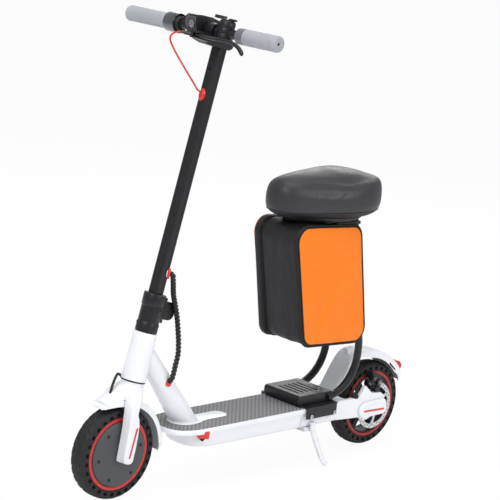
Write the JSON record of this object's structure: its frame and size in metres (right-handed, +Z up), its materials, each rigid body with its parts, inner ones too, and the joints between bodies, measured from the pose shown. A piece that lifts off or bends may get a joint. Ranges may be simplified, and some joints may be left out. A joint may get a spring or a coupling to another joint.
{
  "type": "electric kick scooter with seat",
  "caption": "Electric kick scooter with a padded saddle on twin posts, a storage bag hung between the posts, a folding stem, hub motor front wheel and disc braked rear wheel.",
  "frame": {"origin": "on the floor, at the middle of the box around the scooter", "axes": "+X towards the front wheel, +Y towards the rider's left, +Z up"},
  "size_m": [1.0585, 0.476, 1.0955],
  "materials": {
    "white_paint": "smooth satin paint",
    "black_paint": "satin black paint",
    "grey_cast": "cast and painted grey",
    "steel": "brushed",
    "red_plastic": "smooth",
    "red_lens": "clear red lens",
    "black_plastic": "fine grained",
    "gloss_black": "polished",
    "lamp": "clear lens over a reflector",
    "grip": "ribbed matt rubber",
    "mat": "ribbed matt rubber",
    "tyre": "moulded tread",
    "cell_pack": "shrink wrap",
    "black_leather": "grained",
    "orange_leather": "grained and coated",
    "foam": "grained cover over foam"
  },
  "bodies": {
    "chassis": {"deck_shell": "white_paint", "deck_bottom_cover": "black_plastic", "battery_pack": "cell_pack", "deck_mat": "mat", "neck": "white_paint", "neck_gland": "red_plastic", "rear_yoke": "white_paint", "axle_cover_left": "white_paint", "axle_cover_right": "white_paint", "rear_mudguard": "white_paint", "tail_light": "red_lens", "brake_caliper": "black_paint", "kickstand_mount": "white_paint", "seat_clamp": "black_paint", "clamp_box": "black_paint", "seat_tube_left": "black_paint", "seat_tube_right": "black_paint", "saddle_pan": "black_plastic", "saddle_cushion": "foam", "bag_body": "black_leather", "bag_panel_left": "orange_leather"},
    "steering": {"fork": "white_paint", "fork_cover_left": "white_paint", "fork_cover_right": "white_paint", "front_mudguard": "white_paint", "motor_cable": "black_plastic", "fold_block": "black_paint", "loom": "black_plastic"},
    "front_wheel": {"hub_motor": "grey_cast", "front_rim_ring": "red_plastic", "front_tyre": "tyre"},
    "rear_wheel": {"rear_rim": "black_paint", "rear_tyre": "tyre", "brake_rotor": "steel"},
    "stem": {"stem_tube": "black_paint", "stem_head": "black_plastic", "headlight": "lamp", "display_cover": "gloss_black", "handlebar": "black_paint", "grip_left": "grip", "grip_right": "grip", "grip_collar": "black_plastic", "throttle_housing": "gloss_black", "brake_perch": "black_paint", "bell": "black_plastic", "stem_gland_upper": "red_plastic", "stem_gland_lower": "red_plastic", "brake_cable": "red_plastic"},
    "fold_catch": {"fold_lever": "black_paint"},
    "brake": {"brake_lever": "black_paint"},
    "throttle": {"throttle_lever": "black_plastic"},
    "bell_thumb": {"bell_lever": "black_plastic"},
    "button": {"power_button": "black_plastic"},
    "caliper_arm": {"caliper_arm": "black_paint"},
    "stand": {"kickstand": "white_paint"},
    "port_flap": {"charge_port_cover": "red_plastic"},
    "bag_flap": {"bag_lid": "black_leather", "bag_panel_right": "orange_leather"}
  },
  "joints": [
    {"name": "steering", "type": "hinge", "parent": "chassis", "child": "steering", "pos_m": [0.4202, 0, 0.108], "axis": [-0.2204, 0, 0.9754], "range_deg": [-60, 60], "deforming": ["loom"]},
    {"name": "stem_fold", "type": "hinge", "parent": "steering", "child": "stem", "pos_m": [0.31403, 0, 0.45996], "axis": [0, -1, 0], "range_deg": [0, 30], "deforming": ["loom"]},
    {"name": "front_wheel", "type": "hinge", "parent": "steering", "child": "front_wheel", "pos_m": [0.427, 0, 0.108], "axis": [0, 1, 0], "continuous": true},
    {"name": "rear_wheel", "type": "hinge", "parent": "chassis", "child": "rear_wheel", "pos_m": [-0.411, 0, 0.108], "axis": [0, 1, 0], "continuous": true},
    {"name": "fold_lever", "type": "hinge", "parent": "steering", "child": "fold_catch", "pos_m": [0.31507, -0.003, 0.42359], "axis": [-0.2204, 0, 0.9754], "range_deg": [0, 80]},
    {"name": "brake_lever", "type": "hinge", "parent": "stem", "child": "brake", "pos_m": [0.32329, 0.042, 1.04979], "axis": [-0.2204, 0, 0.9754], "range_deg": [0, 11], "stiffness_Nm_per_rad": 2},
    {"name": "caliper_arm", "type": "hinge", "parent": "chassis", "child": "caliper_arm", "pos_m": [-0.397, 0.0525, 0.185], "axis": [0, 1, 0], "range_deg": [0, 7]},
    {"name": "throttle", "type": "hinge", "parent": "stem", "child": "throttle", "pos_m": [0.27401, -0.075, 1.05917], "axis": [0, -1, 0], "range_deg": [0, 25], "stiffness_Nm_per_rad": 0.2},
    {"name": "bell_thumb", "type": "hinge", "parent": "stem", "child": "bell_thumb", "pos_m": [0.26784, 0.0735, 1.08648], "axis": [-0.2204, 0, 0.9754], "range_deg": [0, 40], "stiffness_Nm_per_rad": 0.1},
    {"name": "power_button", "type": "slide", "parent": "stem", "child": "button", "axis": [0.2204, 0, -0.9754], "range_m": [0, 0.0008], "stiffness_N_per_m": 1500},
    {"name": "kickstand", "type": "hinge", "parent": "chassis", "child": "stand", "pos_m": [-0.1495, 0.0745, 0.093], "axis": [0, -1, 0], "range_deg": [0, 110]},
    {"name": "charge_flap", "type": "hinge", "parent": "chassis", "child": "port_flap", "pos_m": [0.20544, 0.06728, 0.128], "axis": [0.9833, -0.1818, 0], "range_deg": [0, 80]},
    {"name": "bag_flap", "type": "hinge", "parent": "chassis", "child": "bag_flap", "pos_m": [-0.2, -0.054, 0.2965], "axis": [0.9988, 0, 0.0491], "range_deg": [0, 90]}
  ],
  "couplings": [
    {"joint": "caliper_arm", "follows": "brake_lever", "ratio": 0.6}
  ]
}
